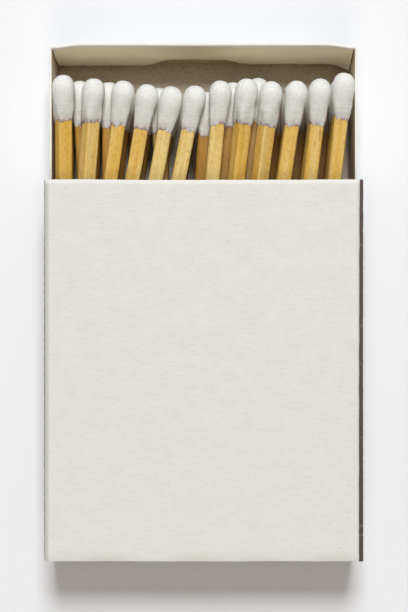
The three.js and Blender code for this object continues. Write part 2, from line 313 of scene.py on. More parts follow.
@dataclass
class FoldedLine:
    """A line across folded card: straight runs joined by rounded folds."""

    corners: list[Pair]
    radius: float
    spacing: float = 1.0
    steps: int = 8
    cut: float = 0.1

    def sample(self) -> tuple[np.ndarray, np.ndarray, np.ndarray]:
        """Walks the line from its first corner to its last.

        Returns:
            Points, the way that the line runs at each, and the share of the card's thickness at each.
        """
        corners = [np.array(corner, float) for corner in self.corners]
        points: list[np.ndarray] = []
        ways: list[np.ndarray] = []
        start = corners[0]
        for here, after in zip(corners[1:], corners[2:] + [None]):
            way = (here - start) / np.linalg.norm(here - start)
            if after is None:
                self._run(points, ways, start, here, way)
                break
            onward = (after - here) / np.linalg.norm(after - here)
            turn = math.acos(max(-1.0, min(1.0, float(way @ onward))))
            begin = here - way * self.radius * math.tan(turn / 2)
            self._run(points, ways, start, begin, way)
            aside = onward - way * float(way @ onward)
            aside /= np.linalg.norm(aside)
            centre = begin + aside * self.radius
            for step in range(1, self.steps + 1):
                angle = turn * step / self.steps
                points.append(centre + self.radius * (way * math.sin(angle) - aside * math.cos(angle)))
                ways.append(way * math.cos(angle) + aside * math.sin(angle))
            start = points.pop()
            ways.pop()
        factors = np.ones(len(points))
        factors[[0, 1]] = CUT_FACTORS
        factors[[-1, -2]] = CUT_FACTORS
        return np.array(points), np.array(ways), factors

    def _run(
        self,
        points: list[np.ndarray],
        ways: list[np.ndarray],
        start: np.ndarray,
        end: np.ndarray,
        way: np.ndarray,
    ) -> None:
        """Adds a straight run, with extra places where it meets a cut edge.

        Args:
            points: The line's points so far.
            ways: The way it runs at each.
            start: Where the run starts.
            end: Where the run ends.
            way: The way that it runs.
        """
        length = float(np.linalg.norm(end - start))
        places = list(np.linspace(0, length, max(2, math.ceil(length / self.spacing) + 1)))
        if not points:
            places[1:1] = [self.cut * CUT_PLACES[1], self.cut]
        if np.allclose(end, self.corners[-1]):
            places[-1:-1] = [length - self.cut, length - self.cut * CUT_PLACES[1]]
        for place in places:
            points.append(start + way * place)
            ways.append(way)


class Sock:
    """An output of a shader node. Arithmetic on it adds Math nodes."""

    def __init__(self, shader: "Shader", link: Optional[bpy.types.NodeSocket]) -> None:
        """Holds the output and the shader that it belongs to."""
        self.shader = shader
        self.link = link

    def _math(self, operation: str, first: Amount, second: Amount) -> "Sock":
        """One Math node on two values."""
        return self.shader.add("ShaderNodeMath", {"operation": operation}, {0: first, 1: second})

    def __add__(self, other: Amount) -> "Sock":
        """This plus other."""
        return self._math("ADD", self, other)

    def __radd__(self, other: float) -> "Sock":
        """Other plus this."""
        return self._math("ADD", other, self)

    def __sub__(self, other: Amount) -> "Sock":
        """This less other."""
        return self._math("SUBTRACT", self, other)

    def __rsub__(self, other: float) -> "Sock":
        """Other less this."""
        return self._math("SUBTRACT", other, self)

    def __mul__(self, other: Amount) -> "Sock":
        """This times other."""
        return self._math("MULTIPLY", self, other)

    def __rmul__(self, other: float) -> "Sock":
        """Other times this."""
        return self._math("MULTIPLY", other, self)

    def step(self, low: float, high: float) -> "Sock":
        """A smooth step from 0 at low to 1 at high.

        Args:
            low: Value that gives 0.
            high: Value that gives 1.

        Returns:
            The stepped value.
        """
        settings = {"interpolation_type": "SMOOTHSTEP"}
        return self.shader.add("ShaderNodeMapRange", settings, {0: self, 1: low, 2: high, 3: 0.0, 4: 1.0})


class Shader:
    """The nodes of a material or of the world, in the making."""

    def __init__(self, owner: Union[bpy.types.Material, bpy.types.World]) -> None:
        """Clears the nodes of what they belong to.

        Args:
            owner: The material or the world.
        """
        owner.use_nodes = True
        self.owner = owner
        self.tree = owner.node_tree
        self.tree.nodes.clear()

    @classmethod
    def of_material(cls, name: str) -> "Shader":
        """Starts a new material under a name."""
        return cls(bpy.data.materials.new(name))

    def add(
        self,
        kind: str,
        settings: Optional[dict[str, Any]] = None,
        inputs: Optional[dict[Union[int, str], Any]] = None,
        out: Union[int, str] = 0,
    ) -> Sock:
        """Adds a node.

        Args:
            kind: The node's type.
            settings: What is set on the node first.
            inputs: Values or links for its inputs, by number or name.
            out: Which output is handed back.

        Returns:
            That output, or an empty one from a node that has none.
        """
        node = self.tree.nodes.new(kind)
        for name, value in (settings or {}).items():
            setattr(node, name, value)
        for key, value in (inputs or {}).items():
            if isinstance(value, Sock):
                self.tree.links.new(value.link, node.inputs[key])
            else:
                node.inputs[key].default_value = value
        return Sock(self, node.outputs[out] if node.outputs else None)

    def place(self) -> Sock:
        """The place on the piece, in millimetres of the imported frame."""
        where = self.add("ShaderNodeTexCoord", out="Object")
        return self.stretch(where, (1 / METRE,) * 3)

    def mark(self, name: str, vector: bool = False) -> Sock:
        """What a mesh has marked on its points under a name."""
        return self.add("ShaderNodeAttribute", {"attribute_name": name}, out="Vector" if vector else "Fac")

    def stretch(self, vector: Sock, scale: Triple) -> Sock:
        """A place or a colour times a scale on each axis or channel."""
        return self.add("ShaderNodeVectorMath", {"operation": "MULTIPLY"}, {0: vector, 1: scale})

    def axis(self, vector: Sock, name: str) -> Sock:
        """One coordinate of a place, by its letter."""
        return self.add("ShaderNodeSeparateXYZ", inputs={0: vector}, out=name)

    def cloud(self, vector: Sock, scale: float, detail: float, roughness: float) -> Sock:
        """Fractal noise, from 0 to 1.

        Args:
            vector: Where on the piece.
            scale: Features in a millimetre.
            detail: Octaves.
            roughness: Share of the finer octaves.

        Returns:
            The noise's value.
        """
        inputs = {"Vector": vector, "Scale": scale, "Detail": detail, "Roughness": roughness}
        return self.add("ShaderNodeTexNoise", inputs=inputs)

    def drawn(self, vector: Sock, run: Triple, detail: float, roughness: float) -> Sock:
        """Fractal noise that is drawn out along some axes.

        Args:
            vector: Where on the piece.
            run: Features in a millimetre along each axis.
            detail: Octaves.
            roughness: Share of the finer octaves.

        Returns:
            The noise's value.
        """
        return self.cloud(self.stretch(vector, run), 1.0, detail, roughness)

    def mix(self, first: Union[Sock, Colour], second: Union[Sock, Colour], share: Amount) -> Sock:
        """A colour between two others.

        Args:
            first: The colour at a share of 0.
            second: The colour at a share of 1.
            share: How much of the second.

        Returns:
            The mixed colour.
        """
        settings = {"data_type": "RGBA"}
        return self.add("ShaderNodeMix", settings, {0: share, 6: first, 7: second}, out=2)

    def relief(self, height: Sock, depth: float, under: Optional[Sock] = None) -> Sock:
        """A surface normal raised by a height from 0 to 1.

        Args:
            height: The height.
            depth: How tall a height of 1 is, in millimetres.
            under: A relief that this one lies on.

        Returns:
            The normal.
        """
        inputs: dict[Union[int, str], Any] = {"Strength": 1.0, "Distance": depth * METRE, "Height": height}
        if under is not None:
            inputs["Normal"] = under
        return self.add("ShaderNodeBump", inputs=inputs)

    def finish(self, colour: Sock, roughness: Amount, normal: Sock, **fixed: float) -> bpy.types.Material:
        """Ends the material in one surface.

        Args:
            colour: Its colour.
            roughness: Its roughness.
            normal: Its normal.
            fixed: Numbers for other inputs of the surface, with _ for each space.

        Returns:
            The material.
        """
        inputs: dict[Union[int, str], Any] = {"Base Color": colour, "Roughness": roughness, "Normal": normal}
        inputs.update({name.replace("_", " "): value for name, value in fixed.items()})
        surface = self.add("ShaderNodeBsdfPrincipled", inputs=inputs)
        self.add("ShaderNodeOutputMaterial", inputs={"Surface": surface})
        return self.owner


@dataclass(frozen=True)
class BoardFinish:
    """Uncoated board: fibres, soft mottling, and rawer cut edges, with painted light, shade, highlight and
    bounce tint where a piece marks them.
    """

    name: str
    face: Colour
    back: Colour
    warm: Colour
    # The cut edges' paler colour; along the sleeve's mouth it is partly a painted highlight.
    edge: Colour
    fleck: Colour
    lining: Colour
    # Painted light: a warm tint that stands in for light bounced from the matches.
    fibre: Colour
    # Painted shade on the sleeve's rounded folds, and grime at its rear end and by the tray's notch.
    handled: Colour
    # Painted light on the tray's floor and sides, away from the front end's shadow.
    dust: Colour
    mottle_size: float = 0.35
    tooth_size: float = 5.0
    fibre_run: Triple = (0.9, 3.6, 3.6)
    strand_run: Triple = (1.6, 5.2, 5.2)
    straw_run: Triple = (2.6, 6.0, 6.0)
    tooth_depth: float = 0.02
    fibre_depth: float = 0.025
    shine: float = 0.25

    def material(self) -> bpy.types.Material:
        """Makes the material, with the face outside and the back inside.

        Returns:
            The material.
        """
        shader = Shader.of_material(self.name)
        place = shader.place()
        mottle = shader.cloud(place, self.mottle_size, 3, 0.6)
        tooth = shader.cloud(place, self.tooth_size, 2, 0.6)
        fibre = shader.drawn(place, self.fibre_run, 4, 0.7)
        strand = shader.drawn(place, self.strand_run, 2, 0.5)
        straw = shader.drawn(place, self.straw_run, 4, 0.65)
        warmth = mottle.step(0.35, 0.7) * 0.35 + fibre.step(0.4, 0.75) * 0.65
        toned = shader.mix(self.face, self.warm, warmth)
        strands = strand.step(0.6, 0.74) * fibre.step(0.35, 0.6) * 0.9
        fibrous = shader.mix(toned, self.fibre, strands)
        # Painted light: the warm bounce tint, where a piece marks it.
        bounce_tinted = shader.mix(fibrous, self.lining, shader.mark("lining"))
        # Painted shade on the sleeve's folds, and grime where a piece marks it.
        face = shader.mix(bounce_tinted, self.handled, shader.mark("handled"))
        flecked = shader.mix(self.back, self.fleck, straw.step(0.48, 0.72) * 0.8)
        # Painted light: the back is lightened where marked and left darker near the tray's front end, where
        # that end's shadow falls.
        painted_light_share = shader.mark("dust") * (0.5 + tooth.step(0.3, 0.7) * 0.5)
        back = shader.mix(flecked, self.dust, painted_light_share)
        paper = shader.mix(face, back, shader.mark("side").step(0.4, 0.6))
        # Lightens the cut edges; along the sleeve's mouth this is partly a painted highlight for light on
        # the rounded cut.
        raw_and_highlight = shader.mark("edge").step(0.05, 0.8) * (0.6 + tooth * 0.4)
        colour = shader.mix(paper, self.edge, raw_and_highlight)
        normal = shader.relief(fibre, self.fibre_depth, shader.relief(tooth, self.tooth_depth))
        return shader.finish(colour, 0.86 + mottle * 0.1, normal, Specular_IOR_Level=self.shine)


@dataclass(frozen=True)
class StrikerFinish:
    """A gritty striking coat with rubbed places."""

    name: str
    coat: Colour
    dark: Colour
    rubbed: Colour
    scuffs: tuple[Pair, ...] = ((-21.6, 0.5), (-22.9, 0.35), (-9.4, 0.3), (6.2, 0.4), (17.5, 0.3))
    scuff_height: Pair = (12.7, 13.5)
    rear_shade: Pair = (-28.0, 10.0)
    patch_run: Triple = (1.1, 0.495, 1.1)
    grit_size: float = 6.5
    grit_depth: float = 0.06
    shine: float = 0.3

    def material(self) -> bpy.types.Material:
        """Makes the material, with scuffs at given places along the upper fold.

        Returns:
            The material.
        """
        shader = Shader.of_material(self.name)
        place = shader.place()
        grit = shader.cloud(place, self.grit_size, 3, 0.7)
        patch = shader.drawn(place, self.patch_run, 3, 0.6)
        along = shader.axis(place, "Y")
        raised = shader.axis(place, "Z").step(*self.scuff_height)
        rear = 1 - along.step(*self.rear_shade)
        coat = shader.mix(self.coat, self.dark, grit.step(0.42, 0.7) * 0.6 + rear * 0.35)
        worn = patch.step(0.58, 0.72) * grit.step(0.4, 0.62) * (0.25 + raised * 0.3)
        for middle, width in self.scuffs:
            scuff = along.step(middle - width, middle) - along.step(middle, middle + width)
            worn = worn + scuff * raised * grit.step(0.3, 0.6) * 0.6
        colour = shader.mix(coat, self.rubbed, worn.step(0.0, 1.0))
        normal = shader.relief(grit, self.grit_depth)
        return shader.finish(colour, 0.82 + grit * 0.15, normal, Specular_IOR_Level=self.shine)


@dataclass(frozen=True)
class WoodFinish:
    """Waxed softwood splints, each with a tone of its own."""

    name: str
    pale: Colour
    amber: Colour
    streak: Colour
    pore: Colour
    # Painted shade: the tint that darkens the lower rows' wood.
    painted_shade_tint: Triple = (0.36, 0.235, 0.13)
    band_run: Triple = (1.1, 0.06, 1.1)
    thread_run: Triple = (5.5, 0.22, 5.5)
    cell_run: Triple = (3.4, 1.5, 3.4)
    knot_run: Triple = (0.9, 0.35, 0.9)
    mottle_run: Triple = (1.6, 0.8, 1.6)
    thread_depth: float = 0.03
    cell_depth: float = 0.02
    shine: float = 0.35

    def material(self) -> bpy.types.Material:
        """Makes the material, whose grain follows each splint.

        Returns:
            The material.
        """
        shader = Shader.of_material(self.name)
        grain = shader.mark("grain", vector=True)
        band = shader.drawn(grain, self.band_run, 4, 0.6)
        thread = shader.drawn(grain, self.thread_run, 4, 0.65)
        cell = shader.drawn(grain, self.cell_run, 4, 0.75)
        knot = shader.drawn(grain, self.knot_run, 1, 0.5)
        mottle = shader.drawn(grain, self.mottle_run, 3, 0.7)
        tone = shader.mark("tone") * 0.8 + band.step(0.3, 0.7) * 0.5 - 0.1
        body = shader.mix(self.pale, self.amber, tone.step(0.0, 1.0))
        streaked = shader.mix(body, self.streak, thread.step(0.5, 0.8) * 0.6)
        speck = cell.step(0.48, 0.75) * 0.6 + mottle.step(0.5, 0.8) * 0.35 + knot.step(0.72, 0.8) * 0.5
        speckled = shader.mix(streaked, self.pore, speck)
        # Painted shade: the lower rows' wood is darkened by the depth mark, standing in for the shade under
        # the top row.
        colour = shader.mix(speckled, shader.stretch(speckled, self.painted_shade_tint), shader.mark("depth"))
        normal = shader.relief(cell, self.cell_depth, shader.relief(thread, self.thread_depth))
        return shader.finish(colour, 0.5 + thread * 0.25, normal, Specular_IOR_Level=self.shine)


@dataclass(frozen=True)
class HeadFinish:
    """Chalky dipped composition, stained where it runs out on the wood."""

    name: str
    # The tip's whiter colour, partly a painted highlight.
    chalk: Colour
    body: Colour
    shade: Colour
    stain: Colour
    scorch: Colour
    # Painted shade for the heads of the deeper lower rows.
    dusty: Colour
    chalk_size: float = 4.5
    lump_size: float = 0.9
    rag_run: Triple = (2.2, 0.6, 2.2)
    ring_run: Triple = (0.5, 4.2, 0.5)
    blotch_run: Triple = (1.5, 1.0, 1.5)
    chalk_depth: float = 0.09
    ring_depth: float = 0.09
    lump_depth: float = 0.05
    shine: float = 0.2

    def material(self) -> bpy.types.Material:
        """Makes the material, which changes along the head.

        Returns:
            The material.
        """
        shader = Shader.of_material(self.name)
        grain = shader.mark("grain", vector=True)
        along = shader.mark("along")
        chalk = shader.cloud(grain, self.chalk_size, 4, 0.7)
        lump = shader.cloud(grain, self.lump_size, 2, 0.5)
        rag = shader.drawn(grain, self.rag_run, 3, 0.6)
        ring = shader.drawn(grain, self.ring_run, 3, 0.6)
        blotch = shader.drawn(grain, self.blotch_run, 3, 0.7)
        # Partly painted light: the whiter tip is partly a painted highlight, and the greying of the lower
        # half (low * 0.3) is painted shade; the chalk noise and the rings are the composition's own.
        low = along.step(0.3, 0.75)
        dipped = shader.mix(self.chalk, self.body, (along + lump * 0.16 - 0.08).step(0.1, 0.5))
        grey_and_shade = chalk.step(0.42, 0.7) * 0.55 + ring.step(0.4, 0.7) * low * 0.6 + low * 0.3
        chalky_and_shaded = shader.mix(dipped, self.shade, grey_and_shade)
        foot = (along + rag * 0.24 - 0.12).step(0.8, 1.0)
        stained = shader.mix(chalky_and_shaded, self.stain, foot * blotch.step(0.3, 0.6) * 0.8)
        scorched = (along + rag * 0.16).step(1.0, 1.08) * blotch.step(0.4, 0.62) * 0.85
        clean = shader.mix(stained, self.scorch, scorched)
        # Painted shade: the heads of the deeper lower rows are darkened, standing in for the shade under the
        # top row.
        colour = shader.mix(clean, self.dusty, shader.mark("depth").step(0.75, 0.95))
        ringed = shader.relief(ring * low, self.ring_depth, shader.relief(chalk, self.chalk_depth))
        normal = shader.relief(lump, self.lump_depth, ringed)
        return shader.finish(colour, 0.85 + chalk * 0.1, normal, Specular_IOR_Level=self.shine)


class Finish(Enum):
    """The finishes that the pieces take."""

    SLEEVE = BoardFinish(
        name="sleeve_board",
        face=ink(228, 228, 224),
        back=ink(176, 168, 150),
        warm=ink(219, 220, 213),
        edge=ink(241, 240, 234),
        fleck=ink(150, 140, 120),
        lining=ink(229, 229, 225),
        fibre=ink(203, 203, 196),
        handled=ink(203, 201, 193),
        dust=ink(176, 168, 150),
    )
    TRAY = BoardFinish(
        name="tray_board",
        face=ink(238, 238, 234),
        back=ink(204, 185, 151),
        warm=ink(231, 229, 220),
        edge=ink(246, 246, 243),
        fleck=ink(122, 103, 75),
        lining=ink(248, 243, 213),
        fibre=ink(222, 220, 210),
        handled=ink(222, 209, 178),
        dust=ink(238, 230, 212),
    )
    STRIKER = StrikerFinish(
        name="striking_coat",
        coat=ink(100, 85, 84),
        dark=ink(67, 53, 52),
        rubbed=ink(150, 138, 134),
    )
    WOOD = WoodFinish(
        name="splint_wood",
        pale=ink(226, 200, 130),
        amber=ink(214, 168, 64),
        streak=ink(197, 150, 60),
        pore=ink(166, 114, 40),
    )
    HEAD = HeadFinish(
        name="head_composition",
        chalk=ink(246, 246, 243),
        body=ink(226, 226, 220),
        shade=ink(205, 204, 198),
        stain=ink(184, 172, 172),
        scorch=ink(120, 84, 66),
        dusty=ink(140, 116, 92),
    )


MATERIALS = {finish: finish.value.material() for finish in Finish}


def settle(piece: bpy.types.Object, body: str, nodes: list[str]) -> bpy.types.Object:
    """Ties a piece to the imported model.

    Args:
        piece: The piece.
        body: The body that it moves with.
        nodes: The solids that it stands for.

    Returns:
        The same piece.
    """
    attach(piece, body)
    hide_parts(*nodes)
    LOG.info("%s rides on %s and stands for %d solids", piece.name, body, len(nodes))
    return piece


def solid_box(node: str) -> tuple[np.ndarray, np.ndarray]:
    """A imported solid's lowest and highest corners, in millimetres."""
    low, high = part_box(node)
    return np.array(low) / METRE, np.array(high) / METRE


def draw_in(points: np.ndarray, waists: Pair = (0.05, 0.04), foot: float = 11.6) -> np.ndarray:
    """Draws the sleeve's upper folds in between its ends, as board does where nothing holds it apart.

    Args:
        points: Places on the sleeve or on what is glued to it.
        waists: How far the left and the right fold come in at the middle.
        foot: The height below which nothing moves.

    Returns:
        The moved places.
    """
    low, high = solid_box("sleeve")
    out = points.copy()
    belly = 1 - (2 * points[..., 1] / (high[1] - low[1])) ** 2
    raised = eased(points[..., 2], foot, high[2])
    for hand, waist in zip((-1, 1), waists):
        near = eased(hand * points[..., 0], high[0] / 2, high[0])
        out[..., 0] -= hand * waist * near * raised * np.clip(belly, 0, 1)
    return out


@dataclass
class Sleeve:
    """One sheet of board folded into a tube and glued along a lap inside its bottom."""

    card: float = 0.4
    fold: float = 0.9
    lap: float = 9.0
    lap_edge: float = 0.5
    spacing: float = 0.8
    cut_round: float = 0.75
    uneven_cut: float = 0.045
    uneven_reach: float = 4.0
    uneven_wave: float = 26.0
    fine_wave: float = 3.1
    fine_share: float = 0.35
    panel_bow: float = 0.07
    panel_tilt: Pair = (0.8, 1.0)
    # Painted shade: how much the rounded folds are darkened, standing in for their shading.
    fold_shade: float = 0.6
    fold_start: Pair = (0.2, 0.4)
    fold_end: Pair = (0.96, 1.0)
    rear_grime: float = 0.45
    rear_band: float = 1.8
    rear_wave: float = 9.0

    def build(self) -> bpy.types.Object:
        """Makes the sleeve.

        Returns:
            The piece.
        """
        low, high = solid_box("sleeve")
        half, top = high[0] - self.card / 2, high[2] - self.card / 2
        lap_level = 1.5 * self.card
        corners = [
            (-half + self.lap, lap_level),
            (-half, lap_level),
            (-half, top),
            (half, top),
            (half, self.card / 2),
            (-half + self.lap_edge, self.card / 2),
        ]
        section, ways, along_cut = FoldedLine(corners, self.fold - self.card / 2).sample()
        lengths = np.cumsum(np.linalg.norm(np.diff(section, axis=0, prepend=section[:1]), axis=1))
        places, across_cut = spread(low[1], high[1], self.spacing, self.cut_round)
        middle = gathered(section[:, None, 0], places, section[:, None, 1])
        outward = gathered(-ways[:, None, 1], 0, ways[:, None, 0] + places * 0)
        middle[..., 1] -= self._uneven(lengths, places)
        belly = 1 - (2 * places / (high[1] - low[1])) ** 2
        wall = eased(np.abs(ways[:, 1]), *self.panel_tilt) * (1 - (2 * section[:, 1] / top - 1) ** 2)
        middle -= outward * (self.panel_bow * wall[:, None] * belly)[..., None]
        thickness = self.card * along_cut[:, None] * across_cut
        # Partly painted highlight: a band along the mouth takes the paler edge colour, standing in for light
        # on the rounded cut edge.
        mouth = eased(places, high[1] - self.cut_round, high[1] - self.cut_round * CUT_PLACES[1])
        skin = Skin()
        skin.add_sheet(
            draw_in(middle),
            outward,
            thickness,
            edge=np.broadcast_to(mouth, thickness.shape),
            handled=self._grime_and_shade(ways, lengths, places),
        )
        piece = skin.build("sleeve_card", [MATERIALS[Finish.SLEEVE]])
        return settle(piece, "sleeve", ["sleeve"])

    def _uneven(self, lengths: np.ndarray, places: np.ndarray) -> np.ndarray:
        """How far the two cut edges lie in from a straight cut.

        Args:
            lengths: Places round the tube.
            places: Places along it.

        Returns:
            The shift along the tube, round it and along it.
        """
        shift = np.zeros((len(lengths), len(places)))
        for number, side in enumerate((1, -1)):
            coarse = Ripple(Seed.SLEEVE_CUT + number, self.uneven_wave).along(lengths)
            fine = Ripple(Seed.SLEEVE_FINE_CUT + number, self.fine_wave).along(lengths)
            inward = np.clip(coarse + self.fine_share * fine + 1, 0, 2)
            near = eased(side * places, places.max() - self.uneven_reach, places.max())
            shift += side * self.uneven_cut * inward[:, None] * near
        return shift

    def _grime_and_shade(self, ways: np.ndarray, lengths: np.ndarray, places: np.ndarray) -> np.ndarray:
        """How far the board is darkened: painted shade along its folds, and grime in patches at its rear
        end.

        Args:
            ways: The way that the board runs round the tube.
            lengths: Places round the tube.
            places: Places along it.

        Returns:
            Shares from 0 to 1, round the tube and along it.
        """
        tilt = np.abs(ways[:, 1])
        # Painted shade: the rounded folds are darkened, standing in for their shading.
        folds = self.fold_shade * eased(tilt, *self.fold_start) * (1 - eased(tilt, *self.fold_end))
        patches = np.clip(0.5 + 0.5 * Ripple(Seed.SLEEVE_GRIME, self.rear_wave).along(lengths), 0, 1)
        rear = self.rear_grime * eased(-places, places.max() - self.rear_band, places.max())
        return np.maximum(folds[:, None], patches[:, None] * rear)


@dataclass
class Strikers:
    """The two striking strips: the right one turns over the upper fold, the left one stays on its side.

    Each of the steps holds the distance between places, and how far in from an edge its rounding starts.
    """

    thickness: float = 0.15
    gap: float = 0.03
    fold: float = 0.9
    wrap: float = 66.0
    skew: float = 8.0
    ragged: float = 0.03
    foot_wave: float = 2.2
    turn_wave: float = 4.5
    top_wave: float = 1.8
    grit: float = 0.018
    grit_wave: float = 0.7
    grit_waves: int = 24
    along_steps: Pair = (0.3, 0.06)
    side_steps: Pair = (0.05, 0.01)
    fold_steps: Pair = (0.08, 0.05)
    left_steps: Pair = (0.03, 0.006)

    def build(self) -> list[bpy.types.Object]:
        """Makes both strips.

        Returns:
            The pieces.
        """
        return [self._right(), self._left()]

    def _right(self) -> bpy.types.Object:
        """The strip that turns over the fold.

        Returns:
            The piece.
        """
        low, high = solid_box("striker_right")
        sleeve_high = solid_box("sleeve")[1]
        places, across_cut = spread(low[1], high[1], *self.along_steps)
        reach = self.fold + self.gap + self.thickness / 2
        foot = low[2] + self.ragged * (Ripple(Seed.RIGHT_FOOT, self.foot_wave).along(places) + 1)
        waver = self.ragged / reach * Ripple(Seed.RIGHT_TURN, self.turn_wave).along(places)
        turned = np.radians(self.wrap - np.linspace(0, self.skew, len(places))) + waver
        centre_x, centre_z = sleeve_high[0] - self.fold, sleeve_high[2] - self.fold
        rise, side_cut = spread(0, 1, *self.side_steps)
        sweep, fold_cut = spread(0, 1, *self.fold_steps)
        side_z = foot + rise[:-2, None] * (centre_z - foot)
        angle = sweep[2:, None] * turned
        x = np.concatenate([np.full_like(side_z, centre_x + reach), centre_x + reach * np.cos(angle)])
        z = np.concatenate([side_z, centre_z + reach * np.sin(angle)])
        facing = np.concatenate([side_z * 0, angle])
        outward = gathered(np.cos(facing), 0, np.sin(facing))
        cut = np.concatenate([side_cut[:-2], fold_cut[2:]])
        return self._piece("striker_right", gathered(x, places, z), outward, cut[:, None] * across_cut)

    def _left(self) -> bpy.types.Object:
        """The strip that stays on its side.

        Returns:
            The piece.
        """
        low, high = solid_box("striker_left")
        places, across_cut = spread(low[1], high[1], *self.along_steps)
        rise, cut = spread(0, 1, *self.left_steps)
        foot = low[2] + self.ragged * (Ripple(Seed.LEFT_FOOT, self.foot_wave).along(places) + 1)
        top = high[2] + self.ragged * (Ripple(Seed.LEFT_TOP, self.top_wave).along(places) - 1)
        middle = gathered((low[0] + high[0]) / 2, places, foot + rise[:, None] * (top - foot))
        outward = np.broadcast_to((-1.0, 0.0, 0.0), middle.shape)
        return self._piece("striker_left", middle, outward, cut[:, None] * across_cut)

    def _piece(
        self, node: str, middle: np.ndarray, outward: np.ndarray, cut: np.ndarray
    ) -> bpy.types.Object:
        """Makes one strip with its grit.

        Args:
            node: The solid that it stands for.
            middle: The middle of its thickness.
            outward: The way out of its face.
            cut: The share of its thickness at each place.

        Returns:
            The piece.
        """
        grit = Ripple(Seed.GRIT, self.grit_wave, self.grit_waves).at(middle)
        rough = self.grit * np.minimum(grit - 1, 0)
        skin = Skin()
        skin.add_sheet(draw_in(middle + outward * rough[..., None]), outward, self.thickness * cut)
        piece = skin.build(f"{node}_coat", [MATERIALS[Finish.STRIKER]])
        return settle(piece, "sleeve", [node])


@dataclass
class Tray:
    """One sheet of thin board: floor and sides, tabs turned in, and ends folded over into flaps.

    Each of flap_waves holds a height and a wavelength, and each of flap_frays a place and a size. The
    end_steps are the distance between places across an end, and how far in from an edge its rounding
    starts, as shares of half the end's width.
    """

    card: float = 0.32
    fold: float = 0.6
    crease: float = 0.12
    crushed: float = 0.7
    crush_fade: Pair = (0.1, 1.0)
    crest_inset: float = 0.12
    crest_reach: float = 0.35
    end_depth: float = 1.04
    end_steps: Pair = (0.02, 0.004)
    side_places: int = 66
    tab_gap: float = 0.04
    tab_length: float = 8.0
    tab_foot: float = 0.72
    tab_drop: float = 4.8
    tab_fold: float = 0.2
    tab_spacing: float = 0.9
    flap_foot: float = 1.9
    flap_gap: float = 0.15
    flap_tuck: Pair = (0.1, 0.6)
    flap_belly: float = 2.4
    flap_waves: tuple[Pair, Pair] = ((0.12, 7.0), (0.05, 1.2))
    flap_frays: tuple[Pair, Pair] = ((-16.8, 0.35), (14.0, 0.3))
    flap_corner: float = 0.5
    corner_band: Pair = (1.2, 0.4)
    lining_tilt: Pair = (0.2, 0.9)
    thumb_width: float = 5.5
    notch_at: float = -0.9
    notch_width: float = 15.8
    notch_flat: float = 7.4
    notch_depth: float = 3.2
    right_rise: float = 0.9
    splay: float = 1.2
    corner_splay: float = 0.75
    corner_reach: float = 4.5
    ear_curl: float = 1.0
    ear_width: float = 2.9
    rim_wave: float = 0.05
    rim_waves: Pair = (11.0, 2.4)
    rim_fine_share: float = 0.6
    rim_depth: float = 2.0
    rim_dip: float = 0.18
    dip_width: float = 2.6
    # Painted light: where along the tray the floor and sides are lightened, and where that fades out near
    # the front end.
    dust_from: Pair = (1.0, 11.0)
    dust_to: Pair = (22.0, 26.5)
    half: float = field(init=False)
    foot: float = field(init=False)
    height: float = field(init=False)
    end: float = field(init=False)
    middle_y: float = field(init=False)
    reach: float = field(init=False)

    def __post_init__(self) -> None:
        """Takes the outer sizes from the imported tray."""
        low, high = solid_box("tray")
        self.half = high[0]
        self.foot = low[2]
        self.height = high[2] - low[2]
        self.end = (high[1] - low[1] - self.splay * (1 - self.end_depth / 2 / self.height)) / 2
        self.middle_y = low[1] + self.end
        self.reach = self.end - self.card - self.tab_gap - self.card / 2 - self.tab_fold

    def build(self) -> bpy.types.Object:
        """Makes the tray.

        Returns:
            The piece.
        """
        skin = Skin()
        self._channel(skin)
        for side in (1, -1):
            self._end(skin, side)
            for hand in (1, -1):
                self._tab(skin, side, hand)
        piece = skin.build("tray_card", [MATERIALS[Finish.TRAY]])
        return settle(piece, "tray", ["tray"])

    def _leaned(self, grid: np.ndarray, side: int) -> np.ndarray:
        """Leans places towards the front end outward from the foot to the rim, less at the corners, and
        moves them to their place; the rear end is only moved.

        Args:
            grid: Places about the tray's own middle, with the underside at zero.
            side: 1 for the front end, -1 for the rear.

        Returns:
            The places in the frame.
        """
        out = grid.copy()
        if side > 0:
            corner = eased(np.abs(grid[..., 0]), self.half - self.corner_reach, self.half)
            lean = self.splay + (self.corner_splay - self.splay) * corner
            ahead = np.clip(grid[..., 1] / self.reach, 0, 1)
            out[..., 1] += lean * ahead * grid[..., 2] / self.height
        return out + (0, self.middle_y, self.foot)

    def _channel(self, skin: Skin) -> None:
        """The floor and the two sides.

        Args:
            skin: The mesh that they go into.
        """
        x, floor = self.half - self.card / 2, self.card / 2
        corners = [(-x, self.height), (-x, floor), (x, floor), (x, self.height)]
        section, ways, cut = FoldedLine(corners, self.fold - self.card / 2).sample()
        places = np.linspace(-self.reach, self.reach, self.side_places)
        grid = gathered(section[:, None, 0], places, section[:, None, 1])
        outward = gathered(ways[:, None, 1], 0, -ways[:, None, 0] + places * 0)
        clear_of_tab = (section[:, 1] < self.tab_foot) | (section[:, 1] > self.height - self.tab_drop)
        corner = (np.abs(section[:, 0]) > x - self.fold) & clear_of_tab
        grid[corner, :, 1] *= (self.end - self.card - self.tab_gap) / self.reach
        raised = eased(section[:, 1], self.height - self.rim_depth, self.height)
        coarse_wave, fine_wave = self.rim_waves
        for number, (hand, dip) in enumerate(((1, self.rim_dip), (-1, 0.0))):
            coarse = Ripple(Seed.RIM + number, coarse_wave).along(places)
            fine = Ripple(Seed.RIM + Seed.FINE + number, fine_wave).along(places)
            wave = self.rim_wave * (coarse + self.rim_fine_share * fine - 1)
            worn = dip * bump_at(places, self.reach - self.dip_width, self.dip_width)
            on_side = (np.sign(section[:, 0]) == hand) * raised
            grid[..., 2] += on_side[:, None] * (wave - worn)
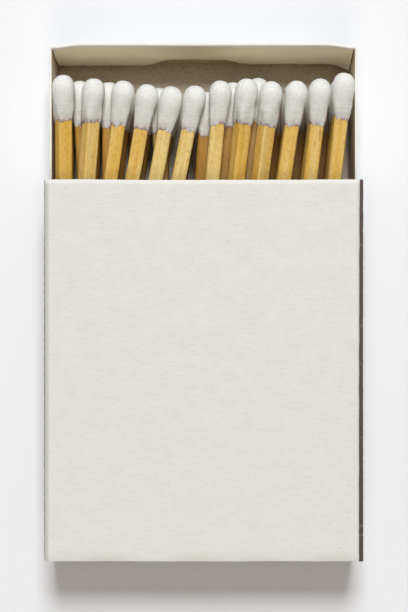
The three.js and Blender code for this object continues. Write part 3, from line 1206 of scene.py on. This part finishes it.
        # Painted light: the floor and sides are lightened along the middle and fade back to darker near the
        # front end, where its shadow falls.
        dust = eased(grid[..., 1], *self.dust_from) * (1 - eased(grid[..., 1], *self.dust_to))
        thickness = self.card * cut[:, None] * np.ones(len(places))
        skin.add_sheet(self._leaned(grid, 1), outward, thickness, dust=dust)

    def _flap_rise(self, x: np.ndarray, side: int) -> np.ndarray:
        """How far a flap's lower edge stands above its foot.

        Args:
            x: Places across the tray.
            side: 1 for the front end, -1 for the rear.

        Returns:
            The rise at each place.
        """
        start, stop = self.notch_flat / 2, self.notch_width / 2
        rise = self.notch_depth * (1 - eased(np.abs(x - side * self.notch_at), start, stop))
        rise += np.where(rise < self.right_rise, self.right_rise * eased(x, start, stop), 0)
        for seed, (height, wave) in zip((Seed.FLAP, Seed.FLAP + Seed.FINE), self.flap_waves):
            rise += height * Ripple(seed + side, wave).along(x)
        for place, size in self.flap_frays:
            rise -= size * bump_at(x, side * place, size)
        inner, outer = self.corner_band
        return rise + self.flap_corner * eased(np.abs(x), self.half - inner, self.half - outer)

    def _end(self, skin: Skin, side: int) -> None:
        """One end: up from the floor, over the top, and down into the flap.

        Args:
            skin: The mesh that it goes into.
            side: 1 for the front end, -1 for the rear.
        """
        wall = self.end - self.card / 2
        crest = self.height - self.card * self.crushed / 2
        corners = [
            (self.reach, self.card / 2),
            (wall, self.card / 2),
            (wall, crest),
            (wall - 2 * self.crease, crest),
            (wall - self.end_depth + self.card, self.flap_foot),
        ]
        section, ways, cut = FoldedLine(corners, self.crease, spacing=0.6, steps=7).sample()
        level = section[:, 1]
        cut[:2] = 1
        cut *= self.crushed + (1 - self.crushed) * eased(crest - level, *self.crush_fade)
        across, across_cut = spread(-1, 1, *self.end_steps)
        flap = np.arange(len(section)) > level.argmax()
        wide = self.half - self.fold * (1 - eased(level, self.card / 2, self.fold))
        narrow = self.half - self.card - self.flap_gap
        tucked = eased(self.height - level, *self.flap_tuck)
        width = np.where(flap, self.half + (narrow - self.half) * tucked, wide)
        width -= self.crest_inset * eased(level, crest - self.crest_reach, crest)
        x = width[:, None] * across
        grid = gathered(x, section[:, None, 0], level[:, None])
        outward = gathered(x * 0, ways[:, None, 1], -ways[:, None, 0])
        down = np.where(flap, np.clip((crest - level) / (crest - self.flap_foot), 0, 1), 0)
        grid[..., 2] += down[:, None] * self._flap_rise(x, side)
        stand_off = self.end_depth - self.card - 2 * self.crease
        grid[..., 1] -= (stand_off * (1 - (1 - down) ** self.flap_belly - down))[:, None]
        if side > 0:
            ear = np.clip((x - narrow + self.ear_width) / self.ear_width, 0, 1)
            grid[..., 1] -= self.ear_curl * ear**2 * (down**2)[:, None]
        grid[..., :2] *= side
        outward[..., :2] *= side
        thickness = self.card * cut[:, None] * across_cut
        # Painted light: where the flap turns down towards the matches it takes the warm tint, which stands
        # in for light bounced from them.
        lining = np.where(flap, eased(-ways[:, 1], *self.lining_tilt), 0)[:, None] * np.ones_like(x)
        handled = lining * bump_at(x, side * self.notch_at, self.thumb_width)
        skin.add_sheet(self._leaned(grid, side), outward, thickness, lining=lining, handled=handled)

    def _tab(self, skin: Skin, side: int, hand: int) -> None:
        """A tab turned in from the end of one side, between an end's wall and its flap.

        Args:
            skin: The mesh that it goes into.
            side: 1 for the front end, -1 for the rear.
            hand: 1 for the right side, -1 for the left.
        """
        x = self.half - self.card / 2
        y = self.reach + self.tab_fold
        corners = [(x, self.reach), (x, y), (x - self.tab_length, y)]
        section, ways, cut = FoldedLine(corners, self.tab_fold, steps=6).sample()
        cut[:2] = 1
        places, across_cut = spread(self.tab_foot, self.height - self.tab_drop, self.tab_spacing)
        grid = gathered(section[:, None, 0] * hand, section[:, None, 1] * side, places)
        outward = gathered(ways[:, None, 1] * hand, -ways[:, None, 0] * side, places * 0)
        skin.add_sheet(self._leaned(grid, side), outward, self.card * cut[:, None] * across_cut)


@dataclass
class Lay:
    """Where a match lies: the middle of its tail, the way to its tip, and two ways across it."""

    tail: np.ndarray
    along: np.ndarray
    across: np.ndarray
    up: np.ndarray
    END_SLICE: ClassVar[float] = 0.05
    CORNER_SHARE: ClassVar[float] = 0.9

    @classmethod
    def of(cls, node: str) -> "Lay":
        """Finds how a packed splint or whole match lies.

        Args:
            node: The solid's name.

        Returns:
            Its lay.
        """
        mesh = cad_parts[node].data
        points = np.array([vertex.co for vertex in mesh.vertices]) / METRE
        points = np.unique(np.round(points, 4), axis=0)
        centred = points - points.mean(axis=0)
        along = np.linalg.svd(centred, full_matrices=False)[2][0]
        along = along * np.sign(along[1])
        reach = points @ along
        end = points[reach < reach.min() + cls.END_SLICE]
        tail = (end.max(axis=0) + end.min(axis=0)) / 2
        spans = np.linalg.norm(end - tail, axis=1)
        best = None
        for corner in end[spans > cls.CORNER_SHARE * spans.max()]:
            spoke = corner - tail
            spoke = spoke - along * float(spoke @ along)
            spoke /= np.linalg.norm(spoke)
            across = (spoke + np.cross(along, spoke)) / math.sqrt(2)
            if best is None or across[0] > best[0]:
                best = across
        return cls(tail, along, best, np.cross(best, along))

    def place(self, local: np.ndarray) -> np.ndarray:
        """Places given across, along and up from the tail, in the frame."""
        return self.tail + local @ np.stack([self.across, self.along, self.up])


@dataclass
class MatchShape:
    """The shape of one match, with unevenness of its own.

    Each of rags and lumps holds a height and a wavelength for a coarse and a fine unevenness.
    """

    number: int
    tone: float
    # Painted shade: how far this match is darkened, standing in for the shade under the top row.
    depth: float = 0.0
    sides: int = 28
    rings: int = 34
    length: float = 42.0
    width: float = 2.0
    squareness: float = 9.0
    end_round: float = 0.08
    end_shrink: float = 0.1
    ridge: float = 0.012
    ridge_wave: float = 0.9
    ridge_run: float = 0.06
    ridge_sink: float = 0.8
    ring_margin: float = 0.2
    head_length: float = 6.4
    head_width: float = 3.3
    head_widest: float = 2.0
    head_cap: float = 1.7
    dome_power: float = 2.3
    dome_rings: int = 11
    dome_start: float = 0.03
    taper_rings: int = 17
    taper_power: Pair = (1.0, 1.8)
    foot_square: float = 5.0
    foot_start: float = 0.35
    film: float = 0.06
    rags: tuple[Pair, Pair] = ((0.22, 1.1), (0.16, 0.45))
    rag_limits: Pair = (-0.45, 0.3)
    lumps: tuple[Pair, Pair] = ((0.05, 2.6), (0.02, 0.8))
    lump_sink: float = 0.025
    lump_fade: float = 0.75
    least_half: float = 0.4
    droop: float = 0.012
    socket_gap: float = 0.012
    socket_lip: float = 0.02
    wood_shift: Triple = (7.3, 51.7, 3.9)

    def _square(self, angles: np.ndarray, half: Numbers, power: Numbers) -> np.ndarray:
        """A ring between a circle and a square.

        Args:
            angles: Places round the ring.
            half: Half its width.
            power: 2 for a circle, more for a squarer ring.

        Returns:
            Across and up at each place.
        """
        cosine, sine = np.cos(angles), np.sin(angles)
        radius = half / (np.abs(cosine) ** power + np.abs(sine) ** power) ** (1 / power)
        return np.stack([radius * cosine, radius * sine], axis=-1)

    def _angles(self) -> np.ndarray:
        """Places round a ring."""
        return np.linspace(0, 2 * math.pi, self.sides, endpoint=False)

    def _uneven(self, coarse: Seed, fine: Seed, sizes: tuple[Pair, Pair], points: np.ndarray) -> np.ndarray:
        """Coarse and fine unevenness of this match's own.

        Args:
            coarse: Start of the coarse unevenness.
            fine: Start of the fine unevenness.
            sizes: The height and the wavelength of each.
            points: Where.

        Returns:
            One number for each place.
        """
        rows = zip((coarse, fine), sizes)
        return sum(height * Ripple(seed + self.number, wave).at(points) for seed, (height, wave) in rows)

    def _marks(self, local: np.ndarray, along: np.ndarray) -> dict[str, np.ndarray]:
        """What the finishes read on a match.

        Args:
            local: Places across, along and up from the tail.
            along: The share of the head's length that each lies from the tip.

        Returns:
            Each mark under its name.
        """
        flat = local[..., 0] * 0
        grain = local + self.number * np.array(self.wood_shift)
        return {"grain": grain, "tone": flat + self.tone, "depth": flat + self.depth, "along": along}

    def _close(self, skin: Skin, lay: Lay, finish: int, ring: np.ndarray, height: float, flip: bool) -> None:
        """Closes a ring on a point in the middle of the match.

        Args:
            skin: The mesh that it goes into.
            lay: Where the match lies.
            finish: Which of the piece's finishes it takes.
            ring: The ring's point numbers.
            height: The middle point's distance from the tail.
            flip: True to turn the faces over.
        """
        centre = gathered(0, np.array([height]), 0)
        number = skin.add_points(lay.place(centre), **self._marks(centre, np.zeros(1)))
        skin.add_fan(ring, int(number[0]), finish, flip)

    def add_splint(self, skin: Skin, lay: Lay, finish: int = 0) -> None:
        """Adds the splint.

        Args:
            skin: The mesh that it goes into.
            lay: Where the match lies.
            finish: Which of the piece's finishes it takes.
        """
        top = self.length - self.head_cap
        places, cut = spread(0, top, (top - self.ring_margin) / self.rings, self.end_round)
        shrink = 1 - self.end_shrink * (1 - cut)
        ring = self._square(self._angles(), self.width / 2 * shrink[:, None], self.squareness)
        local = gathered(ring[..., 0], places[:, None], ring[..., 1])
        grooves = Ripple(Seed.SPLINT + self.number, self.ridge_wave).at(local * (1, self.ridge_run, 1))
        local[..., [0, 2]] *= (1 + self.ridge * (grooves - self.ridge_sink))[..., None]
        numbers = skin.add_points(lay.place(local), **self._marks(local, local[..., 0] * 0))
        skin.add_grid(numbers, finish, wrap=True)
        self._close(skin, lay, finish, numbers[0], 0, True)
        self._close(skin, lay, finish, numbers[-1], top, False)

    def _profile(self, power: float) -> tuple[np.ndarray, np.ndarray, np.ndarray]:
        """The head's outline from its tip to its foot.

        Args:
            power: How long the taper holds its width.

        Returns:
            Shares of the head's length, half its width at each, and how far down the taper each lies.
        """
        widest = self.head_widest / self.head_length
        turn = np.linspace(self.dome_start, 0.5, self.dome_rings) * math.pi
        share = np.concatenate([widest * (1 - np.cos(turn)), np.linspace(widest, 1, self.taper_rings)[1:]])
        below = np.clip((widest - share) / widest, 0, 1)
        dome = (1 - below**self.dome_power) ** (1 / self.dome_power)
        taper = np.clip((share - widest) / (1 - widest), 0, 1)
        foot, full = self.width / 2 + self.film, self.head_width / 2
        half = np.where(share < widest, full * dome, foot + (full - foot) * (1 - taper**power))
        return share, half, taper

    def add_head(self, skin: Skin, lay: Lay, finish: int = 0) -> None:
        """Adds the head, a lumpy bulb that runs out raggedly over the splint.

        Args:
            skin: The mesh that it goes into.
            lay: Where the match lies.
            finish: Which of the piece's finishes it takes.
        """
        rng = np.random.default_rng(Seed.HEAD + self.number)
        angles = self._angles()
        circle = gathered(np.cos(angles), np.sin(angles), 0)
        ragged = self._uneven(Seed.HEAD_RAG, Seed.HEAD_FINE_RAG, self.rags, circle)
        reach = self.head_length + np.clip(ragged, *self.rag_limits)
        share, half, taper = self._profile(rng.uniform(*self.taper_power))
        power = 2 + self.foot_square * eased(taper, self.foot_start, 1)
        ring = self._square(angles, half[:, None], power[:, None])
        local = gathered(ring[..., 0], self.length - share[:, None] * reach, ring[..., 1])
        lumps = self._uneven(Seed.HEAD_LUMP, Seed.HEAD_FINE_LUMP, self.lumps, local)
        swell = (1 - self.lump_fade * taper)[:, None] * np.minimum(lumps - self.lump_sink, 0)
        local[..., [0, 2]] *= 1 + (swell / np.maximum(half, self.least_half)[:, None])[..., None]
        droop = rng.normal(size=2) * self.droop
        local[..., [0, 2]] += droop * (np.sin(np.pi * share) ** 2)[:, None, None]
        socket = self._square(angles, self.width / 2 + self.socket_gap, self.squareness)
        socket_end = self.length - self.head_cap + self.socket_lip
        levels = np.stack([local[-1, :, 1] + self.socket_lip, np.full(self.sides, socket_end)])
        rows = np.concatenate([local, gathered(socket[:, 0], levels, socket[:, 1])])
        along = np.concatenate([np.repeat(share[:, None], self.sides, axis=1), np.ones_like(levels)])
        numbers = skin.add_points(lay.place(rows), **self._marks(rows, along))
        skin.add_grid(numbers, finish, wrap=True, flip=True)
        self._close(skin, lay, finish, numbers[0], self.length, False)
        self._close(skin, lay, finish, numbers[-1], socket_end, True)


@dataclass
class Matches:
    """The loose top row, match by match, and the rows below it."""

    tones: tuple[float, ...] = (0.8, 0.4, 0.75, 0.45, 0.1, 0.25, 0.3, 0.65, 0.5, 0.6, 0.5, 0.65)
    lower_rows: tuple[tuple[int, int], ...] = ((13, 18), (19, 30), (31, 40))
    # Painted shade: how far each lower row's matches are darkened, one value a match, repeated along the
    # row.
    painted_shades: tuple[tuple[float, ...], ...] = ((0.5, 0.5, 0.62, 0.66, 0.72, 0.76), (0.8,), (0.9,))
    lower_tones: Pair = (0.2, 0.9)
    lower_sides: int = 20
    lower_rings: int = 14

    def build(self) -> list[bpy.types.Object]:
        """Makes every match.

        Returns:
            The pieces.
        """
        pieces = []
        for number, tone in enumerate(self.tones, start=1):
            pieces += self._loose(number, tone)
        for row, (first, last) in enumerate(self.lower_rows, start=1):
            pieces.append(self._row(row, first, last))
        return pieces

    def _loose(self, number: int, tone: float) -> list[bpy.types.Object]:
        """One match of the top row, as a splint and a head.

        Args:
            number: The match's number.
            tone: The tone of its wood.

        Returns:
            The two pieces.
        """
        body = f"match_{number:02d}"
        lay = Lay.of(f"{body}_splint")
        shape = MatchShape(number, tone)
        splint, head = Skin(), Skin()
        shape.add_splint(splint, lay)
        shape.add_head(head, lay)
        stick = splint.build(f"{body}_stick", [MATERIALS[Finish.WOOD]])
        bulb = head.build(f"{body}_bulb", [MATERIALS[Finish.HEAD]], sharp=70)
        return [
            settle(stick, body, [f"{body}_splint"]),
            settle(bulb, body, [f"{body}_head"]),
        ]

    def _row(self, row: int, first: int, last: int) -> bpy.types.Object:
        """A lower row as one piece, wood and heads.

        Args:
            row: Its count down from the top row.
            first: The number of its first match.
            last: The number of its last match.

        Returns:
            The piece.
        """
        skin = Skin()
        nodes = [f"match_{number:02d}" for number in range(first, last + 1)]
        rng = np.random.default_rng(Seed.LOWER_ROW + row)
        painted_shades = self.painted_shades[row - 1]
        for number, node in enumerate(nodes, start=first):
            tone = float(rng.uniform(*self.lower_tones))
            depth = painted_shades[(number - first) % len(painted_shades)]
            shape = MatchShape(number, tone, depth, self.lower_sides, self.lower_rings)
            lay = Lay.of(node)
            shape.add_splint(skin, lay, 0)
            shape.add_head(skin, lay, 1)
        piece = skin.build(f"lower_row_{row}", [MATERIALS[Finish.WOOD], MATERIALS[Finish.HEAD]], sharp=60)
        return settle(piece, "tray", nodes)


@dataclass(frozen=True)
class Lamp:
    """A soft rectangular lamp that is aimed at the box."""

    name: str
    at: Triple
    size: Pair
    power: float
    colour: Triple

    def build(self) -> None:
        """Hangs the lamp."""
        lamp = bpy.data.lights.new(self.name, "AREA")
        lamp.shape = "RECTANGLE"
        lamp.size = self.size[0] * METRE
        lamp.size_y = self.size[1] * METRE
        lamp.energy = self.power
        lamp.color = self.colour
        holder = bpy.data.objects.new(self.name, lamp)
        place = Vector(self.at)
        holder.location = place * METRE
        holder.rotation_euler = (-place).to_track_quat("-Z", "Y").to_euler()
        bpy.context.scene.collection.objects.link(holder)


@dataclass
class Studio:
    """A pale floor, soft light from beyond the open end, and a camera straight above."""

    image: tuple[int, int] = (408, 612)
    focal_pixels: float = 1496.0
    camera_at: Triple = (0.1, 8.97, 222.04)
    sensor: float = 36.0
    clip: Pair = (0.01, 20.0)
    floor_colour: Colour = ink(245, 246, 249)
    floor_mottle: Colour = ink(242, 244, 248)
    floor_size: float = 3000.0
    floor_level: float = -0.02
    floor_fade: Pair = (140.0, 480.0)
    floor_mottle_size: float = 0.02
    floor_roughness: float = 0.9
    floor_shine: float = 0.1
    floor_places: int = 5
    sky: float = 0.11
    sky_colour: Colour = (1.0, 0.97, 0.935, 1.0)
    room_colour: Colour = ink(246, 246, 246)
    lamps: tuple[Lamp, ...] = (
        Lamp("key", (15.0, 420.0, 690.0), (210.0, 230.0), 4.82, (0.972, 0.99, 1.0)),
        Lamp("top_fill", (0.0, -20.0, 750.0), (320.0, 500.0), 0.5, (1.0, 0.9, 0.79)),
        Lamp("low_fill", (0.0, -370.0, 560.0), (260.0, 260.0), 0.99, (1.0, 0.9, 0.79)),
    )

    def build(self) -> None:
        """Makes the floor, the light and the camera."""
        self._floor()
        self._sky()
        for lamp in self.lamps:
            lamp.build()
        self._camera()
        bpy.context.scene.view_settings.view_transform = "Standard"

    def _floor(self) -> None:
        """The floor that the box lies on, which runs out into the pale room far from it."""
        shader = Shader.of_material("pale_floor")
        place = shader.place()
        mottle = shader.cloud(place, self.floor_mottle_size, 2, 0.5)
        colour = shader.mix(self.floor_colour, self.floor_mottle, mottle)
        lit = shader.add(
            "ShaderNodeBsdfPrincipled",
            inputs={
                "Base Color": colour,
                "Roughness": self.floor_roughness,
                "Specular IOR Level": self.floor_shine,
            },
        )
        far = shader.add("ShaderNodeEmission", inputs={"Color": self.room_colour})
        distance = shader.add("ShaderNodeVectorMath", {"operation": "LENGTH"}, {0: place}, out="Value")
        share = distance.step(*self.floor_fade)
        surface = shader.add("ShaderNodeMixShader", inputs={0: share, 1: lit, 2: far})
        shader.add("ShaderNodeOutputMaterial", inputs={"Surface": surface})
        skin = Skin()
        span = np.linspace(-self.floor_size / 2, self.floor_size / 2, self.floor_places)
        skin.add_grid(skin.add_points(gathered(span[:, None], span, self.floor_level)))
        skin.build("floor", [shader.owner])

    def _sky(self) -> None:
        """Even light from all round, which is seen as near white."""
        world = bpy.data.worlds.new("pale_room")
        shader = Shader(world)
        path = "ShaderNodeLightPath"
        seen = shader.add(path, out="Is Camera Ray")
        for ray in ("Is Glossy Ray", "Is Transmission Ray"):
            other = shader.add(path, out=ray)
            seen = shader.add("ShaderNodeMath", {"operation": "MAXIMUM"}, {0: seen, 1: other})
        light = shader.add("ShaderNodeBackground", inputs={"Color": self.sky_colour, "Strength": self.sky})
        room = shader.add("ShaderNodeBackground", inputs={"Color": self.room_colour})
        mixed = shader.add("ShaderNodeMixShader", inputs={0: seen, 1: light, 2: room})
        shader.add("ShaderNodeOutputWorld", inputs={"Surface": mixed})
        bpy.context.scene.world = world

    def _camera(self) -> None:
        """The camera, with the image's top towards the open end."""
        data = bpy.data.cameras.new("camera")
        data.sensor_width = self.sensor
        data.lens = self.sensor * self.focal_pixels / max(self.image)
        data.clip_start, data.clip_end = self.clip
        camera = bpy.data.objects.new("camera", data)
        camera.location = Vector(self.camera_at) * METRE
        bpy.context.scene.collection.objects.link(camera)
        bpy.context.scene.camera = camera


def main() -> None:
    """Builds the scene piece by piece."""
    logging.basicConfig(level=logging.INFO, format="%(message)s")
    Studio().build()
    Sleeve().build()
    Strikers().build()
    Tray().build()
    Matches().build()


if __name__ == "__main__":
    main()
